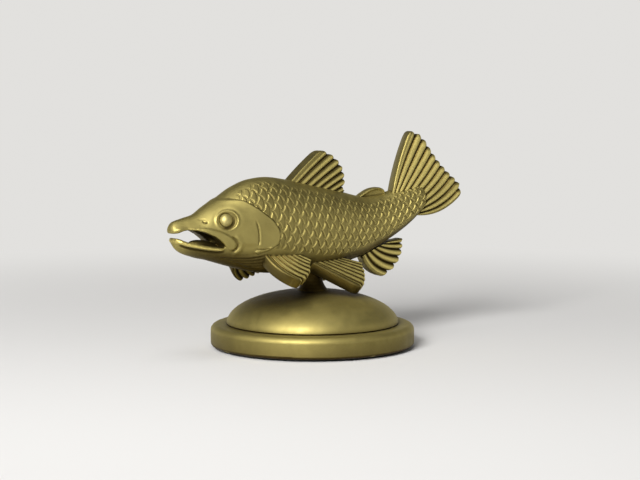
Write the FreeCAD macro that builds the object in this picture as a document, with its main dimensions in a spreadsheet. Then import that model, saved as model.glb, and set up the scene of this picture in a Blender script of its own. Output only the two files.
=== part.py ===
import FreeCAD, Part
import math
import os
import Sketcher

from FreeCAD import Rotation, Vector

# A cast brass fish that stands on a post over a domed round base, in millimetres.
# The origin is the centre of the felt's resting face and +Z is up.
# The head points to -X and the fish's left side faces -Y.

doc = FreeCAD.newDocument("FishFigurine")
sheet = doc.addObject("Spreadsheet::Sheet", "Sizes")

SIZES = [
    ("body_length", 113.6, "tip of the snout to the end of the tail stalk"),
    ("body_height", 37.0, "deepest section of the fish, without fins"),
    ("body_width", 25.2, "widest section of the fish, without fins"),
    ("tail_sweep", 5.6, "how far the end of the tail stalk bends to the left"),
    ("gill_step", 0.5, "how far the head and its gill covers stand proud of the flanks"),
    ("lip_step", 1.0, "how far lips and jaw plates stand proud of the flanks"),
    ("eye_radius", 2.6, "ball of each eye"),
    ("eye_set", 0.9, "how deep the middle of each eye ball lies in the cheek"),
    ("eye_rim_radius", 4.3, "raised ring around each eye, at its foot"),
    ("eye_rim_bevel", 0.9, "how much narrower that ring is at its top"),
    ("eye_rim_height", 1.7, "that ring, from the middle of the eye ball outwards"),
    ("nostril_radius", 0.6, "each nostril"),
    ("nostril_depth", 1.2, "each nostril, from the skin inwards"),
    ("mouth_length", 17.0, "hollow behind the lips"),
    ("mouth_width", 7.6, "hollow behind the lips"),
    ("mouth_depth", 6.0, "hollow behind the lips"),
    ("tongue_length", 13.0, "tongue on the floor of the mouth"),
    ("tongue_width", 4.8, "tongue on the floor of the mouth"),
    ("tongue_height", 3.8, "tongue on the floor of the mouth"),
    ("fit_gap", 0.15, "clearance around eyes, fin roots, rod and pins"),
    ("overrun", 1.0, "how far every cut passes its face"),
    ("dorsal_length", 17.6, "longest ray of the back fin"),
    ("dorsal_root", 20.5, "back fin along the back"),
    ("dorsal_thickness", 6.0, "back fin across its rays"),
    ("dorsal_ray", 3.0, "width of a back fin ray at its tip"),
    ("tail_length", 26.9, "longest ray of the tail fin"),
    ("tail_root", 12.6, "line inside the tail stalk where the tail rays start"),
    ("tail_thickness", 6.0, "tail fin across its rays"),
    ("tail_ray", 3.5, "width of a tail ray at its tip"),
    ("anal_length", 11.4, "longest ray of the anal fin"),
    ("anal_root", 12.4, "anal fin along the belly"),
    ("anal_thickness", 5.2, "anal fin across its rays"),
    ("anal_ray", 3.4, "width of an anal fin ray at its tip"),
    ("pectoral_length", 15.8, "longest ray of a breast fin"),
    ("pectoral_root", 14.7, "breast fin along the body"),
    ("pectoral_thickness", 5.2, "breast fin across its rays"),
    ("pectoral_ray", 2.6, "width of a breast fin ray at its tip"),
    ("pelvic_length", 18.6, "longest ray of a belly fin"),
    ("pelvic_root", 14.1, "belly fin along the body"),
    ("pelvic_thickness", 5.4, "belly fin across its rays"),
    ("pelvic_ray", 2.5, "width of a belly fin ray at its tip"),
    ("adipose_length", 13.0, "small fleshy fin along the back"),
    ("adipose_height", 3.9, "small fleshy fin from its root line up"),
    ("adipose_thickness", 4.0, "small fleshy fin across"),
    ("root_depth", 2.0, "how far each fin's rays start under the skin"),
    ("post_radius", 3.9, "post between base and fish, at its waist"),
    ("post_flare", 2.2, "how much wider the post is at its foot"),
    ("post_top_flare", 0.5, "how much wider the post is at the belly"),
    ("post_length", 7.6, "dome to belly"),
    ("plinth_radius", 40.0, "outside of the round plinth"),
    ("plinth_height", 8.3, "plinth without its felt"),
    ("plinth_top_round", 2.4, "rounded upper edge of the plinth"),
    ("plinth_foot_round", 1.2, "rounded lower edge of the plinth"),
    ("dome_radius", 33.8, "dome where it meets the plinth"),
    ("dome_height", 13.1, "dome above the plinth"),
    ("dome_seat_radius", 6.2, "flat land on top of the dome that carries the post"),
    ("crease_width", 0.5, "groove around the foot of the dome"),
    ("spigot_radius", 26.0, "round step under the dome that centres it in the plinth"),
    ("spigot_height", 2.0, "height of that step"),
    ("rod_radius", 2.0, "M4 tie rod"),
    ("rod_grip", 9.0, "tie rod inside the fish"),
    ("rod_tail", 1.0, "tie rod beyond its nut"),
    ("nut_height", 3.2, "M4 hexagon nut"),
    ("nut_flats", 7.0, "M4 hexagon nut, across its flats"),
    ("nut_chamfer", 0.4, "bevel on the nut's corners"),
    ("washer_radius", 4.5, "M4 washer"),
    ("washer_height", 0.8, "M4 washer"),
    ("recess_radius", 5.6, "nut pocket under the plinth"),
    ("recess_depth", 5.5, "nut pocket under the plinth"),
    ("dowel_radius", 1.5, "dowels that keep the dome from turning"),
    ("dowel_length", 6.0, "dowels that keep the dome from turning"),
    ("dowel_circle", 18.0, "those dowels, from the middle of the base"),
    ("felt_radius", 37.6, "felt under the plinth"),
    ("felt_height", 0.8, "felt under the plinth"),
]
for row, (alias, value, note) in enumerate(SIZES, start=1):
    sheet.set("A%d" % row, alias)
    sheet.set("B%d" % row, str(value))
    sheet.set("C%d" % row, note)
    sheet.setAlias("B%d" % row, alias)
doc.recompute()


class Rule:
    """A length that is known both as a number and as a formula over the sheet's cells."""

    def __init__(self, text, number):
        self.text = text
        self.number = number

    def joined(self, sign, other, number):
        other_text = other.text if isinstance(other, Rule) else "%.6f" % other
        return Rule("(%s %s %s)" % (self.text, sign, other_text), number)

    def __add__(self, other):
        return self.joined("+", other, self.number + number_of(other))

    def __sub__(self, other):
        return self.joined("-", other, self.number - number_of(other))

    def __mul__(self, other):
        return self.joined("*", other, self.number * number_of(other))

    def __truediv__(self, other):
        return self.joined("/", other, self.number / number_of(other))

    def __neg__(self):
        return self * -1

    __rmul__ = __mul__


def number_of(value):
    return value.number if isinstance(value, Rule) else value


def cell(alias):
    return Rule("Sizes." + alias, float(sheet.get(alias)))


def bind(thing, rules):
    """Tie properties of a thing to rules over the sheet."""
    for path, rule in rules.items():
        thing.setExpression(path, rule.text)
    return thing


def place(x, y, z):
    return {"Placement.Base.x": x, "Placement.Base.y": y, "Placement.Base.z": z}


NOTHING = cell("fit_gap") * 0
GAP = cell("fit_gap")
OVER = cell("overrun")

# Heights of the stack, from the table up.
PLINTH_FOOT = cell("felt_height")
PLINTH_TOP = PLINTH_FOOT + cell("plinth_height")
DOME_TOP = PLINTH_TOP + cell("dome_height")
BELLY = DOME_TOP + cell("post_length")

# Places on the fish are shares: along its length from the snout, and of its height from
# the belly over the post. The post's axis stands at this share of the length.
POST_SHARE = 0.5616
BEND_SHARE = 0.631


def along(share):
    return cell("body_length") * (share - POST_SHARE)


def above(share):
    return BELLY + cell("body_height") * share


def sweep(share):
    """The tail stalk bends to the left along a parabola."""
    bend = max(0.0, share - BEND_SHARE) / (1.0 - BEND_SHARE)
    return cell("tail_sweep") * -bend ** 2


# Each section: its place along the length, its middle's height, its height and its width,
# the last three as shares of the body's height, height and width.
SECTION_SHARES = [
    (0.0000, 0.493, 0.072, 0.062),
    (0.0043, 0.484, 0.158, 0.145),
    (0.0148, 0.473, 0.220, 0.222),
    (0.0408, 0.457, 0.300, 0.330),
    (0.0842, 0.442, 0.395, 0.458),
    (0.1276, 0.462, 0.517, 0.570),
    (0.1797, 0.481, 0.652, 0.690),
    (0.2405, 0.508, 0.814, 0.828),
    (0.3012, 0.518, 0.935, 0.935),
    (0.3707, 0.512, 0.997, 0.992),
    (0.4575, 0.486, 0.973, 1.000),
    (0.5616, 0.454, 0.908, 0.952),
    (0.6484, 0.441, 0.816, 0.865),
    (0.7352, 0.442, 0.678, 0.746),
    (0.8220, 0.499, 0.559, 0.635),
    (0.8915, 0.581, 0.492, 0.556),
    (0.9436, 0.658, 0.419, 0.500),
    (0.9731, 0.708, 0.351, 0.460),
    (0.9905, 0.727, 0.281, 0.397),
    (1.0000, 0.730, 0.184, 0.254),
]
HEAD_SECTIONS = 12
UPRIGHT = Rotation(Vector(0, 1, 0), -90)


def fish_skin(name, proud, sections):
    """Loft the fish through upright ellipses, proud of its real skin by a rule."""
    rings = []
    for number, (share, middle, height, width) in enumerate(sections):
        ring = doc.addObject("Part::Ellipse", "%s_ring_%d" % (name, number))
        ring.Placement.Rotation = UPRIGHT
        forwards = NOTHING if number else proud
        bind(ring, place(along(share) - forwards, sweep(share), above(middle)))
        bind(ring, {
            "MajorRadius": cell("body_height") * (height / 2) + proud,
            "MinorRadius": cell("body_width") * (width / 2) + proud,
        })
        rings.append(ring)
    skin = doc.addObject("Part::Loft", name)
    skin.Sections = rings
    skin.Solid = True
    skin.Ruled = False
    return skin


trunk = fish_skin("trunk", NOTHING, SECTION_SHARES)
trunk_fit = fish_skin("trunk_fit", GAP, SECTION_SHARES)
head_skin = fish_skin("head_skin", cell("gill_step"), SECTION_SHARES[:HEAD_SECTIONS])
lip_skin = fish_skin("lip_skin", cell("lip_step"), SECTION_SHARES[:HEAD_SECTIONS])


def side_point(pair):
    return Vector(along(pair[0]).number, 0, above(pair[1]).number)


def side_curve(shares):
    points = [side_point(pair) for pair in shares]
    curve = Part.BSplineCurve()
    curve.interpolate(points)
    return curve.toShape()


def side_line(first, last):
    return Part.LineSegment(side_point(first), side_point(last)).toShape()


def side_block(name, runs):
    """A block through the whole head, from curved runs in its side view."""
    edges = []
    for number, run in enumerate(runs):
        following = runs[(number + 1) % len(runs)]
        edges.append(side_curve(run) if len(run) > 2 else side_line(*run))
        if run[-1] != following[0]:
            edges.append(side_line(run[-1], following[0]))
    reach = (cell("body_width") + OVER).number
    face = Part.Face(Part.Wire(edges))
    face.translate(Vector(0, -reach, 0))
    block = doc.addObject("Part::Feature", name)
    block.Shape = face.extrude(Vector(0, 2 * reach, 0))
    return block


# The head and gill covers: the curved run is the gill cover's rear edge, from the nape
# round its lobe to the throat.
head_block = side_block("head_block", [
    [(0.2491, 1.086), (0.2378, 0.878), (0.2250, 0.812)],
    [(0.2250, 0.812), (0.2543, 0.773), (0.2925, 0.686), (0.3307, 0.586), (0.3542, 0.481),
     (0.3594, 0.392), (0.3481, 0.327), (0.3180, 0.308), (0.2839, 0.304)],
    [(0.2839, 0.304), (0.2752, 0.249), (0.2969, 0.141), (0.3099, -0.060)],
    [(0.3099, -0.060), (-0.0400, -0.060)],
    [(-0.0400, -0.060), (-0.0400, 1.086)],
])
upper_jaw_block = side_block("upper_jaw_block", [
    [(0.0538, 0.510), (0.0903, 0.518), (0.1224, 0.505), (0.1528, 0.481), (0.1762, 0.454),
     (0.1953, 0.414), (0.2063, 0.373), (0.2083, 0.335), (0.2023, 0.308), (0.1880, 0.298),
     (0.1760, 0.310)],
    [(0.1760, 0.310), (0.1432, 0.390), (0.1007, 0.445), (0.0538, 0.490)],
])
lower_lip_block = side_block("lower_lip_block", [
    [(-0.0200, 0.450), (0.0321, 0.403), (0.0755, 0.374), (0.1363, 0.336), (0.1762, 0.322)],
    [(0.1780, 0.292), (0.1276, 0.297), (0.0842, 0.319), (0.0347, 0.357), (-0.0200, 0.405)],
])
gape_block = side_block("gape_block", [
    [(-0.0300, 0.478), (0.0060, 0.474), (0.0365, 0.500), (0.0807, 0.476), (0.1432, 0.397),
     (0.1745, 0.318)],
    [(0.1745, 0.318), (0.1363, 0.332), (0.0755, 0.370), (0.0321, 0.400), (-0.0300, 0.445)],
])


def both(name, kind, first, second):
    joined = doc.addObject(kind, name)
    joined.Base = first
    joined.Tool = second
    return joined


def fuse(name, pieces):
    joined = doc.addObject("Part::MultiFuse", name)
    joined.Shapes = pieces
    return joined


def egg(name, home, length, width, height):
    """An egg-shaped solid, longest along X."""
    shape = doc.addObject("Part::Ellipsoid", name)
    bind(shape, home)
    bind(shape, {"Radius1": height / 2, "Radius2": length / 2, "Radius3": width / 2})
    return shape


head_plate = both("head_plate", "Part::Common", head_skin, head_block)
upper_jaw = both("upper_jaw", "Part::Common", lip_skin, upper_jaw_block)
lower_lip = both("lower_lip", "Part::Common", lip_skin, lower_lip_block)

# The hollow of the mouth opens behind the lips, and the tongue lies on its floor.
mouth = egg("mouth_hollow", place(along(0.092), NOTHING, above(0.415)),
            cell("mouth_length"), cell("mouth_width"), cell("mouth_depth"))
tongue = egg("tongue", place(along(0.112), NOTHING, above(0.318)),
             cell("tongue_length"), cell("tongue_width"), cell("tongue_height"))

# Eyes look outwards, a little forwards and up. Shares give their place along the head,
# their height and how far out they lie.
EYE_SHARES = (0.1710, 0.600, 0.325)
EYE_TURN = 8.0
EYE_TILT = 16.0
NOSTRIL_SHARES = (0.1115, 0.590, 0.235)


def on_head(shares, side, set_in):
    out = cell("body_width") * shares[2] - set_in
    return place(along(shares[0]), out * side, above(shares[1]))


rims = []
head_cuts = [gape_block, mouth]
kept = []
for side, word in ((-1, "left"), (1, "right")):
    eye_home = on_head(EYE_SHARES, side, cell("eye_set"))
    outward = Rotation(Vector(0, 0, 1), side * EYE_TURN)
    outward = outward * Rotation(Vector(1, 0, 0), -side * (90 - EYE_TILT))
    rim = doc.addObject("Part::Cone", word + "_eye_rim")
    rim.Placement.Rotation = outward
    bind(rim, eye_home)
    bind(rim, {
        "Radius1": cell("eye_rim_radius"),
        "Radius2": cell("eye_rim_radius") - cell("eye_rim_bevel"),
        "Height": cell("eye_rim_height"),
    })
    rims.append(rim)
    socket = doc.addObject("Part::Sphere", word + "_eye_socket")
    bind(socket, eye_home)
    bind(socket, {"Radius": cell("eye_radius") + GAP})
    nostril = doc.addObject("Part::Cylinder", word + "_nostril")
    nostril.Placement.Rotation = outward
    bind(nostril, on_head(NOSTRIL_SHARES, side, cell("nostril_depth")))
    bind(nostril, {"Radius": cell("nostril_radius"), "Height": cell("nostril_depth") + OVER})
    head_cuts += [socket, nostril]
    eye = doc.addObject("Part::Sphere", word + "_eye")
    bind(eye, eye_home)
    bind(eye, {"Radius": cell("eye_radius")})
    kept.append(eye)


# Sketches. A vertex is a pair of rules, and a sketch's lines run from vertex to vertex.
def tie_point(sketch, line, end, vertex):
    for kind, rule in (("DistanceX", vertex[0]), ("DistanceY", vertex[1])):
        number = sketch.addConstraint(
            Sketcher.Constraint(kind, -1, 1, line, end, rule.number))
        sketch.setExpression("Constraints[%d]" % number, rule.text)


def polygon(sketch, vertices):
    count = len(vertices)
    for number, vertex in enumerate(vertices):
        following = vertices[(number + 1) % count]
        start = Vector(vertex[0].number, vertex[1].number, 0)
        end = Vector(following[0].number, following[1].number, 0)
        sketch.addGeometry(Part.LineSegment(start, end))
    for number, vertex in enumerate(vertices):
        tie_point(sketch, number, 1, vertex)
        sketch.addConstraint(
            Sketcher.Constraint("Coincident", number, 2, (number + 1) % count, 1))


def circle(sketch, radius, across=None):
    home = Vector(across.number if across else 0, 0, 0)
    number = sketch.addGeometry(Part.Circle(home, Vector(0, 0, 1), radius.number))
    if across:
        tie_point(sketch, number, 3, (across, NOTHING))
    else:
        sketch.addConstraint(Sketcher.Constraint("Coincident", number, 3, -1, 1))
    limit = sketch.addConstraint(Sketcher.Constraint("Radius", number, radius.number))
    sketch.setExpression("Constraints[%d]" % limit, radius.text)


# Fins. In a fin's own frame its root line runs along +X, its rays lie in the XZ plane and
# its thickness is along Y. Ray angles are turned from +Z towards +X.
slots = []
ROOT_WIDTH_SHARE = 0.55
MIDDLE_WIDTH_SHARE = 0.80
WEB_REACH_SHARE = 0.95
WEB_THICKNESS_SHARE = 0.76


def fin_plate(name, vertices, thickness):
    """A flat plate of that outline, half of its thickness on each side of XZ."""
    sketch = doc.addObject("Sketcher::SketchObject", name + "_outline")
    sketch.Placement.Rotation = Rotation(Vector(1, 0, 0), 90)
    polygon(sketch, vertices)
    plate = doc.addObject("Part::Extrusion", name)
    plate.Base = sketch
    plate.DirMode = "Normal"
    plate.Solid = True
    plate.Symmetric = True
    return bind(plate, {"LengthFwd": thickness})


def stand(thing, home, turn):
    thing.Placement.Rotation = turn
    return bind(thing, home)


def ray_fin(label, key, home, turn, angles, length_shares, bow_shares):
    """A fan of tapered rays over a thinner web, and the slot in the body for its root.

    Angles and bows are those of the first and last ray. The slot has the fin's outline
    with a clearance, so the fin stands free of the body wherever it passes near it.
    """
    length = cell(key + "_length")
    root = cell(key + "_root")
    thickness = cell(key + "_thickness")
    width = cell(key + "_ray")
    count = len(length_shares)

    def fan_point(number, run, aside):
        step = number / (count - 1)
        angle = math.radians(angles[0] + (angles[1] - angles[0]) * step)
        across = root * step + run * math.sin(angle) + aside * math.cos(angle)
        return across, run * math.cos(angle) - aside * math.sin(angle), math.degrees(angle)

    def ray_point(number, spot):
        step = number / (count - 1)
        bow = bow_shares[0] + (bow_shares[1] - bow_shares[0]) * step
        run = length * (spot * length_shares[number]) - cell("root_depth") * (1.0 - spot)
        return fan_point(number, run, length * (bow * 4 * spot * (1 - spot)))

    pieces = []
    for number in range(count):
        rings = []
        for spot, share in ((0.0, ROOT_WIDTH_SHARE), (0.55, MIDDLE_WIDTH_SHARE), (1.0, 1.0)):
            across, upwards, angle = ray_point(number, spot)
            ring = doc.addObject("Part::Ellipse", "%s_ring_%d" % (label, number))
            ring.Placement.Rotation = Rotation(Vector(0, 1, 0), angle) * Rotation(Vector(0, 0, 1), 90)
            bind(ring, place(across, NOTHING, upwards))
            bind(ring, {"MajorRadius": thickness / 2, "MinorRadius": width * (share / 2)})
            rings.append(ring)
        ray = doc.addObject("Part::Loft", "%s_ray_%d" % (label, number))
        ray.Sections = rings
        ray.Solid = True
        pieces.append(ray)
    corners = [ray_point(0, 0.0), ray_point(0, 0.5)]
    corners += [ray_point(number, WEB_REACH_SHARE) for number in range(count)]
    corners += [ray_point(count - 1, 0.5), ray_point(count - 1, 0.0)]
    outline = [(across, upwards) for across, upwards, _angle in corners]
    pieces.append(fin_plate(label + "_web", outline, thickness * WEB_THICKNESS_SHARE))
    fin = stand(fuse(label, pieces), home, turn)
    kept.append(fin)
    last = count - 1
    spread = 1 if angles[1] > angles[0] else -1
    depth = -(cell("root_depth") + GAP + width / 2)
    beside = (width / 2 + GAP * 2) * spread
    before = -beside - length * (abs(bow_shares[0]) * spread)
    behind = beside + length * (abs(bow_shares[1]) * spread)
    mouth_line = [fan_point(0, depth, -beside), fan_point(0, length * length_shares[0], before),
                  fan_point(last, length * length_shares[last], behind),
                  fan_point(last, depth, beside)]
    outline = [(across, upwards) for across, upwards, _angle in mouth_line]
    slots.append(stand(fin_plate(label + "_slot", outline, thickness + GAP * 2), home, turn))
    return fin


def turned(yaw, tilt, pitch):
    """Yaw about Z, then tilt about X, then pitch about Y, all in the fin's own axes."""
    swing = Rotation(Vector(0, 0, 1), yaw) * Rotation(Vector(1, 0, 0), tilt)
    return swing * Rotation(Vector(0, 1, 0), pitch)


ray_fin("dorsal_fin", "dorsal", place(along(0.480), NOTHING, above(0.962)), turned(0, 0, 14.1),
        (37, 53), (1.00, 0.94, 0.84, 0.72, 0.56, 0.38, 0.22), (-0.02, 0.0))
ray_fin("tail_fin", "tail", place(along(0.886), sweep(0.886), above(0.790)), turned(-15, 0, 38.4),
        (-20.0, 29.0),
        (0.97, 0.985, 0.95, 0.895, 0.855, 0.83, 0.82, 0.82, 0.835, 0.85, 0.80),
        (-0.03, 0.11))
ray_fin("anal_fin", "anal", place(along(0.780), sweep(0.780), above(0.100)), turned(-8, 0, -29.1),
        (159, 112), (0.92, 1.00, 0.96, 0.84, 0.67, 0.48), (0.14, 0.0))

# Paired fins hang outwards, mirrored on the two sides, but the right breast fin stands
# further forwards and out. Places are shares of the body's length, width and height.
PAIR_TILT = 47
PECTORAL_SHARES = {"left": (0.330, 0.320, 0.180), "right": (0.300, 0.375, 0.175)}
PELVIC_SHARES = {"left": (0.536, 0.292, 0.037), "right": (0.536, 0.292, 0.037)}


def beside_body(shares, side):
    return place(along(shares[0]), cell("body_width") * (shares[1] * side), above(shares[2]))


for side, word in ((-1, "left"), (1, "right")):
    tilt = side * PAIR_TILT
    ray_fin(word + "_pectoral_fin", "pectoral", beside_body(PECTORAL_SHARES[word], side),
            turned(0, tilt, 8.6), (140.4, 119.4),
            (1.00, 0.92, 0.81, 0.68, 0.51, 0.34, 0.20), (0.13, 0.0))
    ray_fin(word + "_pelvic_fin", "pelvic", beside_body(PELVIC_SHARES[word], side),
            turned(0, tilt, -6.9), (137.9, 119.9),
            (1.00, 0.95, 0.86, 0.75, 0.63, 0.49, 0.36), (0.0, 0.0))

# The small fleshy fin has no rays: a leaf with a rounded edge.
ADIPOSE_SHARES = [(0.0, -0.45), (0.0, 0.0), (0.20, 0.45), (0.42, 0.82), (0.62, 1.0),
                  (0.82, 0.98), (1.0, 0.62), (1.0, -0.45)]
adipose_home = place(along(0.744), sweep(0.744), above(0.740))
adipose_turn = turned(-5, 0, -3)
leaf_outline = [(cell("adipose_length") * across, cell("adipose_height") * upwards)
                for across, upwards in ADIPOSE_SHARES]
leaf = stand(fin_plate("adipose_fin", leaf_outline, cell("adipose_thickness")),
             adipose_home, adipose_turn)
kept.append(leaf)
leaf_low = cell("adipose_height") * ADIPOSE_SHARES[0][1] - GAP
leaf_slot = [(-GAP, leaf_low), (-GAP, cell("adipose_height")),
             (cell("adipose_length") + GAP, cell("adipose_height")),
             (cell("adipose_length") + GAP, leaf_low)]
slots.append(stand(fin_plate("adipose_slot", leaf_slot, cell("adipose_thickness") + GAP * 2),
                   adipose_home, adipose_turn))

# The tie rod holds fish, post, dome and plinth together, from a blind hole in the belly
# down to a nut in a pocket that the felt closes.
ROD_HOLE = cell("rod_radius") + GAP
RECESS_TOP = PLINTH_FOOT + cell("recess_depth")
NUT_TOP = RECESS_TOP - cell("washer_height")
NUT_FOOT = NUT_TOP - cell("nut_height")
ROD_FOOT = NUT_FOOT - cell("rod_tail")
ROD_TOP = BELLY + cell("rod_grip")


def column(name, foot, radius, height, across=None):
    pin = doc.addObject("Part::Cylinder", name)
    bind(pin, place(across or NOTHING, NOTHING, foot))
    return bind(pin, {"Radius": radius, "Height": height})


rod_hole = column("rod_hole_in_belly", BELLY - OVER, ROD_HOLE, cell("rod_grip") + GAP + OVER)
whole_head = fuse("whole_head", [trunk, head_plate, upper_jaw, lower_lip] + rims)
carved = both("carved", "Part::Cut", whole_head, fuse("hollows", head_cuts + slots + [rod_hole]))
fish_body = fuse("fish_body", [carved, tongue])
kept.append(fish_body)


# Turned and punched pieces of the stand.
def plane_of(body, role):
    for feature in body.Origin.OriginFeatures:
        if feature.Role == role:
            return feature
    raise RuntimeError("no plane " + role)


def new_body(label):
    body = doc.addObject("PartDesign::Body", label)
    body.Label = label
    kept.append(body)
    return body


def sketch_on(body, name, role, offset=None):
    sketch = body.newObject("Sketcher::SketchObject", name)
    sketch.AttachmentSupport = [(plane_of(body, role), "")]
    sketch.MapMode = "FlatFace"
    if offset:
        sketch.setExpression("AttachmentOffset.Base.z", offset.text)
    return sketch


def padded(body, name, sketch, height):
    pad = body.newObject("PartDesign::Pad", name)
    pad.Profile = sketch
    return bind(pad, {"Length": height})


def turned_piece(label, vertices):
    """A solid of revolution about Z from its half section."""
    body = new_body(label)
    sketch = sketch_on(body, label + "_section", "XZ_Plane")
    polygon(sketch, vertices)
    turn = body.newObject("PartDesign::Revolution", label + "_turn")
    turn.Profile = sketch
    turn.ReferenceAxis = (sketch, ["V_Axis"])
    turn.Angle = 360
    return body


# The post's foot flares in a curve, and its top is a saddle that fits the belly.
POST_STEPS = 6
WAIST_SHARE = 0.65
post_top = BELLY + cell("post_radius")
top_radius = cell("post_radius") + cell("post_top_flare")
post_section = [(ROD_HOLE, DOME_TOP)]
for step in range(POST_STEPS + 1):
    lift = step / POST_STEPS
    flare = cell("post_flare") * max(0.0, 1 - lift / WAIST_SHARE) ** 2
    flare = flare + cell("post_top_flare") * max(0.0, (lift - WAIST_SHARE) / (1 - WAIST_SHARE)) ** 2
    post_section.append((cell("post_radius") + flare, DOME_TOP + cell("post_length") * lift))
post_section += [(top_radius, post_top), (ROD_HOLE, post_top)]
post_blank = turned_piece("post_blank", post_section)
kept.remove(post_blank)
kept.append(both("support_post", "Part::Cut", post_blank, trunk_fit))

# The dome is half an egg with a flat seat for the post, a groove round its foot and a
# spigot that centres it in the plinth.
doc.recompute()
seat_ratio = cell("dome_seat_radius") / cell("dome_radius")
egg_rise = Rule("(%s / sqrt(1 - %s ^ 2))" % (cell("dome_height").text, seat_ratio.text),
                cell("dome_height").number / math.sqrt(1 - seat_ratio.number ** 2))
dome_egg = egg("dome_egg", place(NOTHING, NOTHING, PLINTH_TOP),
               cell("dome_radius") * 2, cell("dome_radius") * 2, egg_rise * 2)
dome_band = column("dome_band", PLINTH_TOP, cell("dome_radius") + OVER, cell("dome_height"))
dome_cap = both("dome_cap", "Part::Common", dome_egg, dome_band)
spigot = column("dome_spigot", PLINTH_TOP - cell("spigot_height"),
                cell("spigot_radius"), cell("spigot_height") + OVER)
DOWEL_FOOT = PLINTH_TOP - cell("spigot_height") - cell("dowel_length") / 2


def dowels(name, gap):
    """Two pins across the base, half in the dome and half in the plinth."""
    pins = []
    for side in (-1, 1):
        pins.append(column("%s_%d" % (name, side + 2), DOWEL_FOOT - gap,
                           cell("dowel_radius") + gap, cell("dowel_length") + gap * 2,
                           cell("dowel_circle") * side))
    group = doc.addObject("Part::Compound", name)
    group.Links = pins
    return group


dome_groove = doc.addObject("Part::Torus", "dome_groove")
bind(dome_groove, place(NOTHING, NOTHING, PLINTH_TOP))
bind(dome_groove, {"Radius1": cell("dome_radius"), "Radius2": cell("crease_width")})
dome_bore = column("dome_bore", PLINTH_TOP - cell("spigot_height") - OVER, ROD_HOLE,
                   cell("dome_height") + cell("spigot_height") + OVER * 2)
dome_holes = dowels("dome_dowel_holes", GAP)
base_dome = both("base_dome", "Part::Cut", fuse("dome_blank", [dome_cap, spigot]),
                 fuse("dome_cuts", [dome_groove, dome_bore, dome_holes]))
kept.append(base_dome)
kept.append(dowels("dome_dowels", NOTHING))

# The plinth is a turned disc with a pocket for the spigot above and one for the nut below.
spigot_pocket = cell("spigot_radius") + GAP
plinth = new_body("plinth_disc")
kept.remove(plinth)
disc = sketch_on(plinth, "plinth_outline", "XY_Plane", PLINTH_FOOT)
circle(disc, cell("plinth_radius"))
padded(plinth, "plinth_pad", disc, cell("plinth_height"))
doc.recompute()


def rim_edges(shape, height, radius):
    names = []
    for number, edge in enumerate(shape.Edges, start=1):
        box = edge.BoundBox
        flat = abs(box.ZMin - height) < box.DiagonalLength * 1e-6 and box.ZLength < radius * 1e-6
        if flat and abs(box.XMax - radius) < radius * 1e-6:
            names.append("Edge%d" % number)
    return names


def eased(body, name, base, height, radius, easing, kind):
    """Round or bevel the circle at that height and radius."""
    feature = body.newObject("PartDesign::" + kind, name)
    feature.Base = (base, rim_edges(base.Shape, height.number, radius.number))
    bind(feature, easing)
    doc.recompute()
    return feature


top_round = eased(plinth, "plinth_top_round", plinth.Tip, PLINTH_TOP, cell("plinth_radius"),
                  {"Radius": cell("plinth_top_round")}, "Fillet")
eased(plinth, "plinth_foot_round", top_round, PLINTH_FOOT, cell("plinth_radius"),
      {"Radius": cell("plinth_foot_round")}, "Fillet")
POCKET_FOOT = PLINTH_TOP - cell("spigot_height") - GAP
plinth_cuts = fuse("plinth_cuts", [
    column("spigot_pocket", POCKET_FOOT, cell("spigot_radius") + GAP,
           cell("spigot_height") + GAP + OVER),
    column("plinth_bore", PLINTH_FOOT - OVER, ROD_HOLE, cell("plinth_height") + OVER * 2),
    column("nut_pocket", PLINTH_FOOT - OVER, cell("recess_radius"), cell("recess_depth") + OVER),
    dowels("plinth_dowel_holes", GAP),
])
kept.append(both("base_plinth", "Part::Cut", plinth, plinth_cuts))


def disc_piece(label, foot, radius, height, bore=None):
    body = new_body(label)
    sketch = sketch_on(body, label + "_outline", "XY_Plane", foot)
    circle(sketch, radius)
    if bore:
        circle(sketch, bore)
    padded(body, label + "_pad", sketch, height)
    return body


disc_piece("tie_rod", ROD_FOOT, cell("rod_radius"), ROD_TOP - ROD_FOOT)
disc_piece("rod_washer", NUT_TOP, cell("washer_radius"), cell("washer_height"), ROD_HOLE)
disc_piece("felt_pad", NOTHING, cell("felt_radius"), cell("felt_height"))

# A hexagon nut with its corners bevelled all round by the cone that a lathe leaves.
nut = new_body("nut_blank")
kept.remove(nut)
hexagon = sketch_on(nut, "nut_outline", "XY_Plane", NUT_FOOT)
corner = cell("nut_flats") / math.sqrt(3)
polygon(hexagon, [(corner * math.cos(math.radians(turn)), corner * math.sin(math.radians(turn)))
                  for turn in range(0, 360, 60)])
circle(hexagon, ROD_HOLE)
padded(nut, "nut_pad", hexagon, cell("nut_height"))
bevel = doc.addObject("Part::Sphere", "nut_bevel")
bevel_radius = corner + cell("nut_chamfer")
bind(bevel, place(NOTHING, NOTHING, NUT_FOOT + cell("nut_height") / 2))
bind(bevel, {"Radius": bevel_radius})
kept.append(both("rod_nut", "Part::Common", nut, bevel))

doc.recompute()

# Every feature has to be sound, and every piece one closed solid, before it is written.
for thing in doc.Objects:
    for word in ("Invalid", "Error"):
        if word in thing.State:
            raise RuntimeError("%s is %s" % (thing.Name, thing.State))
SOLIDS = {"dome_dowels": 2}
os.makedirs("parts", exist_ok=True)
for piece in kept:
    shape = piece.Shape
    wanted = SOLIDS.get(piece.Label, 1)
    if shape.isNull() or not shape.isValid() or len(shape.Solids) != wanted:
        raise RuntimeError("%s: %d solids" % (piece.Label, len(shape.Solids)))
    print("%-22s %9.1f mm3  %3d faces" % (piece.Label, shape.Volume, len(shape.Faces)))
for piece in kept:
    piece.Shape.exportStep("parts/%s.step" % piece.Label)
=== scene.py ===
import math

import bmesh
import bpy
import numpy as np
from mathutils import Matrix, Vector


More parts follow.
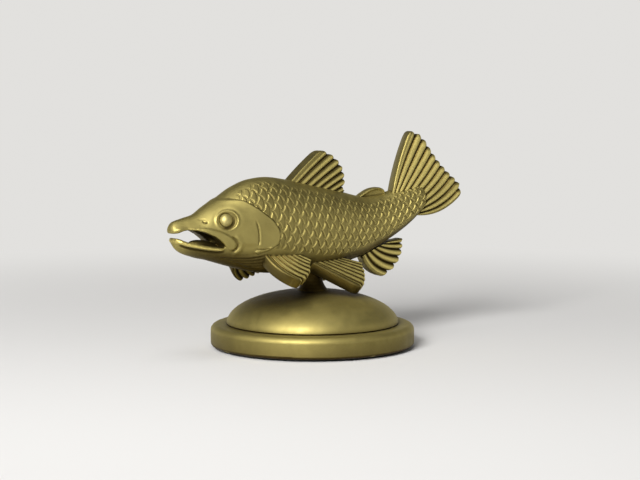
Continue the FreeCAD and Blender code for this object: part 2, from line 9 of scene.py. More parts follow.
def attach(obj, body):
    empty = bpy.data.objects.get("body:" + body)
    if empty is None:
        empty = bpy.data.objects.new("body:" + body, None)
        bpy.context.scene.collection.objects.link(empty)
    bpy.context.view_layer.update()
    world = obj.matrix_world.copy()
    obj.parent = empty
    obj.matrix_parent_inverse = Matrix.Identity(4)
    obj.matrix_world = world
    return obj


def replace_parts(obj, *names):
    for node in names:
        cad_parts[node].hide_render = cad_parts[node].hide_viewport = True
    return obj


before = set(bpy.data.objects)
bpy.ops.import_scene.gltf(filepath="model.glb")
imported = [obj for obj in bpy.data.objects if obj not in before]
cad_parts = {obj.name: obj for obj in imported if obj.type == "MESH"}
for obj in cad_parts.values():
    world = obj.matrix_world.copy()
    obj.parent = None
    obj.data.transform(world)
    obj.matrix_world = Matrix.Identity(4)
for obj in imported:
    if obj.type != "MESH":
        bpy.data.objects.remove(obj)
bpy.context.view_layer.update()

# FISH BODY
# One lost-wax brass casting of head and trunk. Its skin runs through upright ellipses, the
# mouth is cut in, and the plates of the head are worked up from the skin.
MM = 0.001
LENGTH = 113.6 * MM
HEIGHT = 37.0 * MM
WIDTH = 25.2 * MM
BELLY = 29.8 * MM
TAIL_SWEEP = 5.6 * MM
POST_SHARE = 0.5616
BEND_SHARE = 0.631
# Place along the length, and middle, height and width as shares of height, height and width.
SECTION_SHARES = np.array([
    (0.0000, 0.490, 0.100, 0.090),
    (0.0043, 0.472, 0.214, 0.195),
    (0.0148, 0.460, 0.279, 0.264),
    (0.0408, 0.448, 0.352, 0.368),
    (0.0842, 0.441, 0.431, 0.492),
    (0.1276, 0.464, 0.541, 0.603),
    (0.1797, 0.483, 0.676, 0.722),
    (0.2405, 0.509, 0.838, 0.857),
    (0.3012, 0.518, 0.949, 0.952),
    (0.3707, 0.512, 0.997, 0.992),
    (0.4575, 0.486, 0.973, 1.000),
    (0.5616, 0.454, 0.908, 0.952),
    (0.6484, 0.441, 0.816, 0.865),
    (0.7352, 0.442, 0.678, 0.746),
    (0.8220, 0.499, 0.559, 0.635),
    (0.8915, 0.581, 0.492, 0.556),
    (0.9436, 0.658, 0.419, 0.500),
    (0.9731, 0.708, 0.351, 0.460),
    (0.9905, 0.727, 0.281, 0.397),
    (1.0000, 0.730, 0.060, 0.070),
])


def smooth_through(knots, values, wanted):
    """A curve through the knots that never overshoots them."""
    steps = np.diff(knots)
    slopes = np.diff(values) / steps
    tangents = np.zeros(len(knots))
    same_way = slopes[:-1] * slopes[1:] > 0
    before = 2 * steps[1:] + steps[:-1]
    after = steps[1:] + 2 * steps[:-1]
    safe_before = np.where(same_way, slopes[:-1], 1.0)
    safe_after = np.where(same_way, slopes[1:], 1.0)
    mean = (before + after) / (before / safe_before + after / safe_after)
    tangents[1:-1] = np.where(same_way, mean, 0.0)
    tangents[0], tangents[-1] = slopes[0], slopes[-1]
    spot = np.clip(np.searchsorted(knots, wanted, side="right") - 1, 0, len(knots) - 2)
    part = np.clip((wanted - knots[spot]) / steps[spot], 0, 1)
    rest = 1 - part
    return (values[spot] * rest * rest * (1 + 2 * part)
            + values[spot + 1] * part * part * (3 - 2 * part)
            + tangents[spot] * steps[spot] * part * rest * rest
            - tangents[spot + 1] * steps[spot] * part * part * rest)


def section_at(x):
    """Sideways place, middle height, half height and half width of the skin at x."""
    share = np.clip(np.asarray(x, float) / LENGTH + POST_SHARE, 0, 1)
    middle, height, width = (
        smooth_through(SECTION_SHARES[:, 0], SECTION_SHARES[:, column], share)
        for column in (1, 2, 3))
    bend = np.maximum(0, share - BEND_SHARE) / (1 - BEND_SHARE)
    return (-TAIL_SWEEP * bend ** 2, BELLY + middle * HEIGHT,
            height * HEIGHT / 2, width * WIDTH / 2)


def skin_at(x, turn):
    """Point on the skin and its outward direction. The turn is 0 at the flank, 90 at the back."""
    turn = np.radians(turn)
    aside, middle, tall, wide = section_at(x)
    point = np.stack([x, aside - wide * np.cos(turn), middle + tall * np.sin(turn)], -1)
    step = 0.2 * MM
    aside_on, middle_on, tall_on, wide_on = section_at(x + step)
    onward = np.stack([x + step, aside_on - wide_on * np.cos(turn),
                       middle_on + tall_on * np.sin(turn)], -1) - point
    around = np.stack([0 * turn + 0 * x, wide * np.sin(turn), tall * np.cos(turn)], -1)
    out = np.cross(onward, around)
    out /= np.linalg.norm(out, axis=-1, keepdims=True)
    return point, out


def pick_only(thing):
    for other in bpy.context.selected_objects:
        other.select_set(False)
    bpy.context.view_layer.objects.active = thing
    thing.select_set(True)


def new_piece(name, points, faces):
    """A mesh from points and faces, with its normals turned outwards."""
    mesh = bpy.data.meshes.new(name)
    mesh.from_pydata([tuple(point) for point in points], [], faces)
    piece = bpy.data.objects.new(name, mesh)
    bpy.context.scene.collection.objects.link(piece)
    pick_only(piece)
    bpy.ops.object.mode_set(mode="EDIT")
    bpy.ops.mesh.select_all(action="SELECT")
    bpy.ops.mesh.normals_make_consistent(inside=False)
    bpy.ops.object.mode_set(mode="OBJECT")
    return piece


def tube_faces(rings, around):
    """Quads between rings of equal count, with both ends closed."""
    faces = []
    for ring in range(rings - 1):
        for spot in range(around):
            beside = (spot + 1) % around
            low, high = ring * around, (ring + 1) * around
            faces.append((low + spot, low + beside, high + beside, high + spot))
    faces.append(tuple(range(around))[::-1])
    faces.append(tuple((rings - 1) * around + spot for spot in range(around)))
    return faces


def carve(piece, tool, operation="DIFFERENCE"):
    pick_only(piece)
    cut = piece.modifiers.new("cut", "BOOLEAN")
    cut.object = tool
    cut.operation = operation
    cut.solver = "EXACT"
    bpy.ops.object.modifier_apply(modifier="cut")
    bpy.data.objects.remove(tool)


def shaped_ball(name, home, radii, tilt):
    bpy.ops.mesh.primitive_uv_sphere_add(segments=48, ring_count=32, radius=1, location=home,
                                         rotation=(0, tilt, 0))
    ball = bpy.context.object
    ball.name = name
    ball.scale = radii
    bpy.ops.object.transform_apply(location=True, rotation=True, scale=True)
    return ball


SKIN_RINGS, SKIN_AROUND = 260, 128
ring_share = (1 - np.cos(np.linspace(0, math.pi, SKIN_RINGS))) / 2
ring_x = (ring_share - POST_SHARE) * LENGTH
turns = np.linspace(0, 360, SKIN_AROUND, endpoint=False)
skin_points = np.concatenate([skin_at(np.full(SKIN_AROUND, x), turns)[0] for x in ring_x])
body = new_piece("fish_body_casting", skin_points, tube_faces(SKIN_RINGS, SKIN_AROUND))

# The gape is cut right through between the lips, and the hollow behind it is egg-shaped.
UPPER_LIP_EDGE = [(-68, 47.3), (-64, 47.3), (-62, 47.6), (-60.4, 48.4), (-58.3, 48.8),
                  (-55.4, 48.5), (-52.1, 47.6), (-48.6, 46.0), (-46.4, 44.4), (-44.6, 42.5)]
LOWER_LIP_EDGE = [(-44.2, 41.7), (-45.9, 41.9), (-49.0, 42.3), (-52.8, 43.0), (-56.2, 43.7),
                  (-58.7, 44.3), (-60.9, 45.0), (-63.0, 45.9), (-68, 47.0)]
gape_line = [(x * MM, z * MM) for x, z in UPPER_LIP_EDGE + LOWER_LIP_EDGE]
gape_points = [(x, side * WIDTH, z) for side in (-1, 1) for x, z in gape_line]
gape = new_piece("gape", gape_points, tube_faces(2, len(gape_line)))
carve(body, gape)
MOUTH_HOME, MOUTH_RADII = (-53.2 * MM, 0, 45.4 * MM), (9.5 * MM, 4.8 * MM, 3.9 * MM)
TONGUE_HOME, TONGUE_RADII = (-49.8 * MM, 0, 42.5 * MM), (6.4 * MM, 3.0 * MM, 1.9 * MM)
MOUTH_TILT, TONGUE_TILT = math.radians(14), math.radians(10)
carve(body, shaped_ball("mouth", MOUTH_HOME, MOUTH_RADII, MOUTH_TILT))
carve(body, shaped_ball("tongue", TONGUE_HOME, TONGUE_RADII, TONGUE_TILT), "UNION")


def on_flank(x, z, side, inset=0.0):
    """The point of the skin that a side view shows at x and z."""
    aside, middle, tall, wide = section_at(x)
    rise = np.clip((z - middle) / tall, -1, 1)
    return np.array((x, aside + side * (wide * math.sqrt(1 - rise * rise) - inset), z))


ROLL_AROUND = 16


def roll(name, pairs, radii, inset):
    """A rounded lip that runs along one flank, round the snout and back along the other."""
    flank = [(x * MM, z * MM, radius * MM) for (x, z), radius in zip(pairs, radii)]
    path = [(on_flank(x, z, -1, inset), radius) for x, z, radius in flank]
    path += [(on_flank(x, z, 1, inset), radius) for x, z, radius in flank[::-1]]
    rings = []
    for number, (home, radius) in enumerate(path):
        before = path[max(0, number - 1)][0]
        after = path[min(len(path) - 1, number + 1)][0]
        onward = Vector(after - before).normalized()
        beside = onward.cross(Vector((0, 0, 1))).normalized()
        upwards = beside.cross(onward)
        for spot in range(ROLL_AROUND):
            turn = spot * math.tau / ROLL_AROUND
            across = beside * math.cos(turn) + upwards * math.sin(turn)
            rings.append(Vector(home) + across * radius)
    return new_piece(name, rings, tube_faces(len(path), ROLL_AROUND))


lower_lip = roll("lower_lip", [(-44.6, 41.2), (-46.4, 41.3), (-49.4, 41.7), (-53.0, 42.3),
                               (-56.4, 43.1), (-58.9, 43.6), (-60.6, 44.2), (-61.6, 44.6),
                               (-62.0, 44.8)],
                 (0.45, 0.65, 0.78, 0.85, 0.88, 0.90, 0.92, 0.95, 0.95), 0.10 * MM)
upper_lip = roll("upper_lip", [(-44.6, 43.5), (-46.6, 45.1), (-48.8, 46.6), (-52.3, 48.2),
                               (-55.6, 49.1), (-58.3, 49.3), (-60.2, 49.1), (-61.2, 48.8),
                               (-61.8, 48.8)],
                 (0.5, 0.6, 0.6, 0.6, 0.6, 0.7, 0.9, 1.2, 1.3), 0.35 * MM)
pick_only(body)
for lip in (lower_lip, upper_lip):
    lip.select_set(True)
bpy.ops.object.join()

# The rolls melt into the skin. The head is smoothed, the snout once more, and then the
# head's faces are split for its fine relief.
SKIN_VOXEL = 0.54 * MM
HEAD_END = -21 * MM
SNOUT_END, SNOUT_FOOT = -57.5 * MM, 47.6 * MM
body.data.remesh_voxel_size = SKIN_VOXEL
bpy.ops.object.voxel_remesh()


def pick_faces(test):
    """In edit mode, select the body's faces whose centre passes the test."""
    bpy.ops.mesh.select_all(action="DESELECT")
    mesh = bmesh.from_edit_mesh(body.data)
    for face in mesh.faces:
        face.select_set(test(face.calc_center_median()))
    bmesh.update_edit_mesh(body.data)


bpy.ops.object.mode_set(mode="EDIT")
pick_faces(lambda centre: centre.x < HEAD_END)
bpy.ops.mesh.vertices_smooth(factor=0.5, repeat=3)
pick_faces(lambda centre: centre.x < SNOUT_END and centre.z > SNOUT_FOOT)
bpy.ops.mesh.vertices_smooth(factor=0.5, repeat=9)
pick_faces(lambda centre: centre.x < HEAD_END)
bpy.ops.mesh.subdivide(number_cuts=1)
bpy.ops.object.mode_set(mode="OBJECT")


def read_points(piece):
    points = np.empty(len(piece.data.vertices) * 3)
    piece.data.vertices.foreach_get("co", points)
    return points.reshape(-1, 3)


def write_points(piece, points):
    piece.data.vertices.foreach_set("co", points.ravel())
    piece.data.update()


def paint_light(piece, amounts):
    """How much painted shade each point holds, from 0 to 1, or painted highlight below 0."""
    layer = piece.data.attributes.new("painted_light", "FLOAT", "POINT")
    layer.data.foreach_set("value", np.asarray(amounts, np.float32))


def ramp(low, high, value):
    part = np.clip((value - low) / (high - low), 0, 1)
    return part * part * (3 - 2 * part)


def run_of(pairs, finer=8):
    """A smooth side-view curve through pairs of X and Z in millimetres."""
    knots = np.array(pairs, float) * MM
    steps = np.linalg.norm(np.diff(knots, axis=0), axis=1)
    lengths = np.concatenate([[0], np.cumsum(steps)])
    wanted = np.linspace(0, lengths[-1], finer * len(pairs))
    ahead = np.clip(np.searchsorted(lengths, wanted, side="right") - 1, 0, len(knots) - 2)
    part = ((wanted - lengths[ahead]) / steps[ahead])[:, None]
    slopes = np.gradient(knots, lengths, axis=0)
    low, high, step = knots[ahead], knots[ahead + 1], steps[ahead][:, None]
    return (low * (1 + 2 * part) * (1 - part) ** 2 + high * part ** 2 * (3 - 2 * part)
            + slopes[ahead] * step * part * (1 - part) ** 2
            - slopes[ahead + 1] * step * part ** 2 * (1 - part))


def off_curve(curve, side_view):
    """Distance to a side-view curve, and the share of the way along it."""
    start, along = curve[:-1], np.diff(curve, axis=0)
    gap = side_view[:, None, :] - start[None]
    part = np.clip((gap * along).sum(-1) / (along ** 2).sum(-1), 0, 1)
    distance = np.linalg.norm(gap - part[..., None] * along, axis=-1)
    nearest = distance.argmin(1)
    rows = np.arange(len(side_view))
    return distance[rows, nearest], (nearest + part[rows, nearest]) / len(along)


def inside_of(curve, side_view):
    """Whether each point of the side view lies inside a closed curve."""
    inside = np.zeros(len(side_view), bool)
    x, z = side_view.T
    for (x_low, z_low), (x_high, z_high) in zip(curve, np.roll(curve, -1, axis=0)):
        if z_low != z_high:
            crossing = (x_high - x_low) * (z - z_low) / (z_high - z_low) + x_low
            inside ^= ((z_low > z) != (z_high > z)) & (x < crossing)
    return inside


points = read_points(body)
HEAD_DETAIL_END = -15 * MM
head = np.nonzero(points[:, 0] < HEAD_DETAIL_END)[0]
skin = points[head]
aside, middle, tall, wide = section_at(skin[:, 0])
roundness = np.hypot((skin[:, 1] - aside) / wide, (skin[:, 2] - middle) / tall)
turn = np.degrees(np.arctan2((skin[:, 2] - middle) / tall, -(skin[:, 1] - aside) / wide))
true_skin, outward = skin_at(skin[:, 0], turn)
side_view = skin[:, [0, 2]]
on_skin = ramp(0.90, 0.97, roundness)
near_skin = 1 - ramp(0.10 * MM, 0.30 * MM, np.linalg.norm(true_skin - skin, axis=1))[:, None]
skin = true_skin * near_skin + skin * (1 - near_skin)
lift = np.zeros(len(skin))


def line_lift(pairs, width, height, taper=0.2):
    """A rounded ridge along a curve, or a groove where the height is negative."""
    distance, share = off_curve(run_of(pairs), side_view)
    ends = ramp(0, taper, share) * ramp(0, taper, 1 - share)
    return height * MM * np.exp(-(distance / (width * MM)) ** 2) * ends


def signed_off(pairs):
    """Distance in millimetres to a closed curve's edge, positive inside."""
    curve = run_of(pairs + pairs[:1])
    distance = off_curve(curve, side_view)[0] / MM
    return np.where(inside_of(curve, side_view), distance, -distance)


# The head's plates stand proud of the flanks, highest at the gill covers' rear edge.
HEAD_PLATE, JAW_PLATE, GILL_LEAF = 0.80 * MM, 0.62 * MM, 0.60 * MM
GILL_EDGE = [(-40.5, 59.6), (-38.8, 59.3), (-37.0, 58.9), (-35.4, 58.0), (-33.0, 56.5),
             (-31.0, 55.0), (-28.8, 53.2), (-26.6, 51.5), (-25.2, 49.7), (-24.1, 48.1),
             (-23.5, 45.8), (-23.4, 44.3), (-23.9, 42.8), (-25.2, 41.7), (-28.0, 41.2),
             (-31.5, 41.0)]
gill_run = run_of(GILL_EDGE)
gill_gap = off_curve(gill_run, side_view)[0] / MM
gill_field = np.concatenate([gill_run, np.array([(-70, 41.0), (-70, 62.0), (-44.0, 62.0)]) * MM])
proud = np.where(inside_of(gill_field, side_view), gill_gap, -gill_gap)
x_mm, z_mm = side_view.T / MM
nape = 1 - ramp(58.6, 60.2, z_mm)
above_throat = np.clip(ramp(-35.0, -30.0, x_mm) + ramp(41.5, 44.0, z_mm), 0, 1)
lift += (HEAD_PLATE * ramp(-0.16, 0.16, proud) * np.exp(-np.maximum(proud, 0) / 4.5)
         * nape * above_throat)

# The jaw plate along the upper lip widens to a rounded end behind the mouth.
jaw_plate = signed_off([
    (-58.0, 49.7), (-54.3, 49.6), (-50.6, 49.1), (-47.1, 48.1), (-44.4, 46.8), (-42.2, 45.2),
    (-41.0, 43.7), (-40.7, 42.4), (-41.3, 41.3), (-42.8, 40.9), (-44.1, 41.8), (-46.2, 44.0),
    (-49.0, 45.9), (-53.0, 47.6), (-56.5, 48.6)])
lift += JAW_PLATE * ramp(-0.30, 0.55, jaw_plate) * ramp(-59.0, -52.0, x_mm)
lift += line_lift([(-43.6, 46.4), (-41.6, 45.2), (-40.3, 43.6), (-39.9, 42.2), (-40.6, 40.7),
                   (-42.4, 40.0)], 0.38, -0.42)
lift += line_lift([(-41.8, 46.7), (-39.7, 44.6), (-38.7, 42.4), (-39.4, 40.2), (-41.8, 38.9)],
                  0.9, 0.35)

# Under the lower lip runs a groove, then the chin.
lift += line_lift([(-62.6, 43.5), (-60.5, 42.7), (-57.9, 41.9), (-54.6, 41.2), (-50.7, 40.5),
                   (-47.2, 40.0), (-44.2, 40.2)], 0.34, -0.70, 0.12)
lip_rise = line_lift([(-64.4, 45.3), (-62.8, 44.8), (-60.9, 44.2), (-58.9, 43.6), (-56.4, 43.0),
                      (-53.0, 42.2), (-49.4, 41.6), (-46.4, 41.3), (-44.4, 41.2)], 0.70, 0.50, 0.1)
lift += lip_rise

# Cheek creases and the leaf below the gill cover.
lift += line_lift([(-33.6, 52.0), (-32.9, 50.0), (-32.4, 47.8), (-32.1, 45.5), (-32.0, 43.2),
                   (-32.2, 41.6)], 0.24, -0.55)
lift += line_lift([(-32.1, 50.4), (-31.6, 47.8), (-31.3, 45.5), (-31.2, 43.2), (-31.5, 41.2)],
                  0.42, 0.12)
gill_leaf = signed_off([(-33.0, 40.0), (-31.0, 40.7), (-28.8, 41.0), (-26.4, 41.8),
                        (-25.6, 41.3), (-27.6, 40.1), (-30.0, 39.4), (-32.4, 39.2)])
lift += GILL_LEAF * ramp(-0.25, 0.40, gill_leaf)

# Folds of the throat sag from the chin to the breast, each with a groove under it.
THROAT_FOLDS = 5
for number in range(THROAT_FOLDS):
    front = (-47.0 + 2.6 * number, 38.7 - 0.95 * number)
    back = (-26.5 + 0.6 * number, 39.0 - 1.25 * number)
    sag = (front[0] * 0.45 + back[0] * 0.55, front[1] * 0.45 + back[1] * 0.55 - 1.0)
    lift += line_lift([front, sag, back], 0.34, 0.38, 0.25)
    lift += line_lift([(x + 0.2, z - 0.75) for x, z in (front, sag, back)], 0.32, -0.30, 0.25)

# Each eye sits in a hollow that opens behind and below it, with a rounded rim and a brow.
EYE = np.array((-44.4, 7.4, 52.0)) * MM
RIM = np.array((-44.2, 8.4, 51.9)) * MM
RIM_OVAL = (1.16, 1.0, 1.0)
SOCKET_DEPTH, HOLLOW_DEPTH = 0.60 * MM, 0.50 * MM
both_sides = np.stack([skin[:, 0], np.abs(skin[:, 1]), skin[:, 2]], -1)
eye_gap = np.linalg.norm(both_sides - EYE, axis=1) / MM
rim_gap = np.linalg.norm((both_sides - RIM) / RIM_OVAL, axis=1) / MM
rim_turn = np.arctan2(side_view[:, 1] - RIM[2], side_view[:, 0] - RIM[0])
behind = ramp(-0.5, 0.6, np.cos(rim_turn - math.radians(-35)))
brow = 0.5 + 0.5 * np.cos(rim_turn - math.radians(75))
socket = SOCKET_DEPTH * (1 - ramp(2.35, 2.65, eye_gap))
lift -= HOLLOW_DEPTH * behind * (1 - ramp(2.95, 3.45, rim_gap))
lift += (0.16 + 0.34 * brow) * MM * np.exp(-((rim_gap - 3.65) / 0.50) ** 2)
lift += 0.25 * MM * brow * np.exp(-((rim_gap - 5.0) / 1.4) ** 2)

# Each nostril is a small hooked slit under a fold.
lift += line_lift([(-52.9, 52.0), (-52.4, 51.5), (-51.7, 51.3), (-51.1, 51.5)], 0.24, -0.45, 0.1)
lift += line_lift([(-54.2, 52.3), (-53.2, 52.5), (-52.2, 52.5), (-51.4, 52.4)], 0.20, -0.14, 0.2)
points[head] = skin + outward * ((lift - socket) * on_skin)[:, None]
write_points(body, points)

# The lips' edges, the snout and the jaw's tip are rubbed smooth.
head_side = points[head][:, [0, 2]]
upper_off = off_curve(run_of(UPPER_LIP_EDGE), head_side)[0] / MM
lower_off = off_curve(run_of(LOWER_LIP_EDGE), head_side)[0] / MM
lip_edge, lip_roll = np.zeros(len(points), bool), np.zeros(len(points), bool)
lip_edge[head] = (upper_off < 0.9) & (x_mm < -45.5)
lip_roll[head] = (lower_off < 1.4) & (x_mm < -46.5)
snout = (points[:, 0] < -58 * MM) & (points[:, 2] > 47.2 * MM)
jaw_tip = (points[:, 0] < -62.3 * MM) & (points[:, 2] < 47 * MM)
pick_only(body)
bpy.ops.object.mode_set(mode="EDIT")
for chosen, times in ((lip_edge, 6), (lip_roll, 5), (snout, 15), (jaw_tip, 8)):
    bpy.ops.mesh.select_all(action="DESELECT")
    mesh = bmesh.from_edit_mesh(body.data)
    for vertex, wanted in zip(mesh.verts, chosen):
        vertex.select_set(bool(wanted))
    mesh.select_flush_mode()
    bmesh.update_edit_mesh(body.data)
    bpy.ops.mesh.vertices_smooth(factor=0.5, repeat=times)
bpy.ops.object.mode_set(mode="OBJECT")

# The smoothing shortens the snout, so it is drawn out by 0.7 mm, and the jaw's tip is drawn
# in by 0.5 mm.
points = read_points(body)
upper_jaw = ramp(46.4, 47.6, points[:, 2] / MM)
points[:, 0] -= (1.2 * upper_jaw - 0.5) * MM * ramp(-58.5, -63.5, points[:, 0] / MM)
write_points(body, points)

# Painted shade darkens the underside of the belly and throat, the relief's hollows and grooves
# and the inside of the mouth, and a painted highlight lies along the lower lip's roll.
_aside, middle, tall, _wide = section_at(points[:, 0])
painted_light = 0.80 * ramp(0.42, 0.78, (middle - points[:, 2]) / tall)
painted_light[head] *= ramp(-64, -54, x_mm)
painted_light[head] += (np.clip(-lift / (0.45 * MM), 0, 1) - 0.9 * lip_rise / (0.5 * MM)) * on_skin
mouth_shade = (1 - near_skin[:, 0]) * (1 - ramp(0.93, 0.99, roundness))
throat_shade = (1 - ramp(38.0, 41.0, z_mm)) * ramp(-52, -44, x_mm)
painted_light[head] += 0.85 * mouth_shade * ramp(-61.5, -57.5, x_mm) + 0.15 * throat_shade
paint_light(body, painted_light)

# Satin brass: a warm olive tone that varies a little, soft gloss, a fine cast grain and edges
# worn brighter, with painted shade in the hollows and painted shade and highlight set per
# point. The other finishes are made alike.
CAST_TONE, CAST_SHADE = (0.36, 0.300, 0.100, 1), (0.045, 0.028, 0.006, 1)
# How many times lighter than the tone its clouds, worn edges and painted highlights are; on
# the fins' crests the highlight is partly rubbed wear.
CLOUDED, WORN, WEAR_AND_HIGHLIGHT = 0.86, 1.18, 1.9
# The two colour sockets of a Mix node, and its colour output.
MIX_FIRST, MIX_SECOND, MIX_RESULT = 6, 7, 2


def made_finish(name, tone, painted_shade, roughness, grain, hollow=1.2 * MM, wear=0.6, metallic=1.0):
    """A material whose colour, gloss and grain vary in space, with painted shade in its hollows and
    painted shade and highlight set per point.
    """
    finish = bpy.data.materials.new(name)
    finish.use_nodes = True
    nodes, links = finish.node_tree.nodes, finish.node_tree.links
    shader = nodes["Principled BSDF"]
    shader.inputs["Metallic"].default_value = metallic
    place = nodes.new("ShaderNodeTexCoord")

    def noise(size, detail):
        cloud = nodes.new("ShaderNodeTexNoise")
        for word, number in (("Scale", 1 / size), ("Detail", detail), ("Roughness", 0.55)):
            cloud.inputs[word].default_value = number
        links.new(place.outputs["Object"], cloud.inputs["Vector"])
        return cloud.outputs["Fac"]

    def spread(value, low, high, first, second):
        span = nodes.new("ShaderNodeMapRange")
        links.new(value, span.inputs["Value"])
        for word, number in (("From Min", low), ("From Max", high), ("To Min", first),
                             ("To Max", second)):
            span.inputs[word].default_value = number
        return span.outputs["Result"]

    def mixed(share, first, second):
        mix = nodes.new("ShaderNodeMix")
        mix.data_type = "RGBA"
        links.new(share, mix.inputs["Factor"])
        for slot, colour in ((MIX_FIRST, first), (MIX_SECOND, second)):
            if isinstance(colour, tuple):
                mix.inputs[slot].default_value = colour
            else:
                links.new(colour, mix.inputs[slot])
        return mix.outputs[MIX_RESULT]

    def lighter(times):
        return tuple(min(1, channel * times) for channel in tone[:3]) + (1,)

    colour = mixed(spread(noise(9 * MM, 4), 0.35, 0.65, 0, 1), lighter(CLOUDED), tone)
    # Painted shade: an ambient-occlusion reading darkens the colour where other surfaces lie within
    # the reach.
    occlusion_shade = nodes.new("ShaderNodeAmbientOcclusion")
    occlusion_shade.samples = 8
    occlusion_shade.inputs["Distance"].default_value = hollow
    colour = mixed(spread(occlusion_shade.outputs["AO"], 0.35, 0.85, 0, 1), painted_shade, colour)
    # Painted shade where the per-point value is above 0.
    painted_light = nodes.new("ShaderNodeAttribute")
    painted_light.attribute_name = "painted_light"
    colour = mixed(spread(painted_light.outputs["Fac"], 0.05, 0.9, 0, 0.85), colour, painted_shade)
    edges = nodes.new("ShaderNodeNewGeometry")
    colour = mixed(spread(edges.outputs["Pointiness"], 0.54, 0.64, 0, wear), colour,
                   lighter(WORN))
    # Painted highlight where the per-point value is below 0, partly rubbed wear on the fins' crests.
    colour = mixed(spread(painted_light.outputs["Fac"], -0.05, -0.8, 0, 1), colour, lighter(WEAR_AND_HIGHLIGHT))
    links.new(colour, shader.inputs["Base Color"])
    links.new(spread(noise(3 * MM, 5), 0.3, 0.7, roughness - 0.05, roughness + 0.06),
              shader.inputs["Roughness"])
    bump = nodes.new("ShaderNodeBump")
    bump.inputs["Distance"].default_value = grain
    bump.inputs["Strength"].default_value = 0.5
    links.new(noise(1.2 * MM, 3), bump.inputs["Height"])
    links.new(bump.outputs["Normal"], shader.inputs["Normal"])
    return finish


fish_brass = made_finish("fish_brass", CAST_TONE, CAST_SHADE, 0.54, 0.03 * MM, wear=0.1)
body.data.materials.append(fish_brass)
body.data.shade_smooth()
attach(body, "root")
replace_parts(body, "fish_body")

# SCALES
# Overlapping scales cast with the flanks, like shingles that point to the tail. Each bulges a
# little and ends in a rounded free edge over a narrow groove. Back and belly stay smooth.
SCALES_TOP = np.array([(-42.0, 60.3), (-37.3, 62.2), (-31.5, 65.0), (-26.1, 65.9), (-20.8, 65.4),
                       (-15.9, 64.2), (-10.2, 62.9), (-0.3, 61.3), (8.9, 58.6), (16.3, 56.8),
                       (23.9, 55.7), (32.0, 57.3), (39.5, 59.8), (48.0, 62.4)]) * MM
SCALES_FOOT = np.array([(-40.0, 41.0), (-22.8, 40.0), (-12.9, 37.9), (-3.1, 36.5), (7.2, 36.2),
                        (15.5, 37.2), (22.4, 39.6), (30.4, 41.5), (36.6, 45.6), (41.5, 49.0),
                        (48.0, 53.0)]) * MM
SCALE_ROWS = 8
# From the nape to the tail stalk the scales get shorter.
SCALE_PITCH, PITCH_SPAN = (4.15 * MM, 3.35 * MM), (-30 * MM, 46 * MM)
SCALES_FROM, SCALES_TO = -42 * MM, 49.2 * MM
# The free edge's reach and spread, in pitches and rows.
EDGE_REACH, EDGE_SPREAD = 0.62, 1.03
EDGE_LIFT, EDGE_ROUND = 0.24 * MM, 0.24 * MM
GROOVE, GROOVE_WIDTH = 0.36 * MM, 0.66 * MM
SKIN_UNDER = 2.2 * MM
SKIN_TURN_LIMIT = 0.94
FAR_OFF = 1e9
DRAW_COLUMNS = 80
scale_draws = np.random.default_rng(7).normal(0, 0.03 * MM, (DRAW_COLUMNS, SCALE_ROWS + 4))


def row_turn(x, row):
    """The skin's turn at x for a row, from 0 at the top row to 1 at the lowest."""
    _aside, middle, tall, _wide = section_at(x)
    top, foot = (
        np.degrees(np.arcsin(np.clip((np.interp(x, line[:, 0], line[:, 1]) - middle) / tall,
                                     -SKIN_TURN_LIMIT, SKIN_TURN_LIMIT)))
        for line in (SCALES_TOP, SCALES_FOOT))
    return top + (foot - top) * row


columns = [SCALES_FROM - 2 * SCALE_PITCH[0]]
while columns[-1] < SCALES_TO + SCALE_PITCH[0]:
    columns.append(columns[-1] + np.interp(columns[-1], PITCH_SPAN, SCALE_PITCH) / 2)


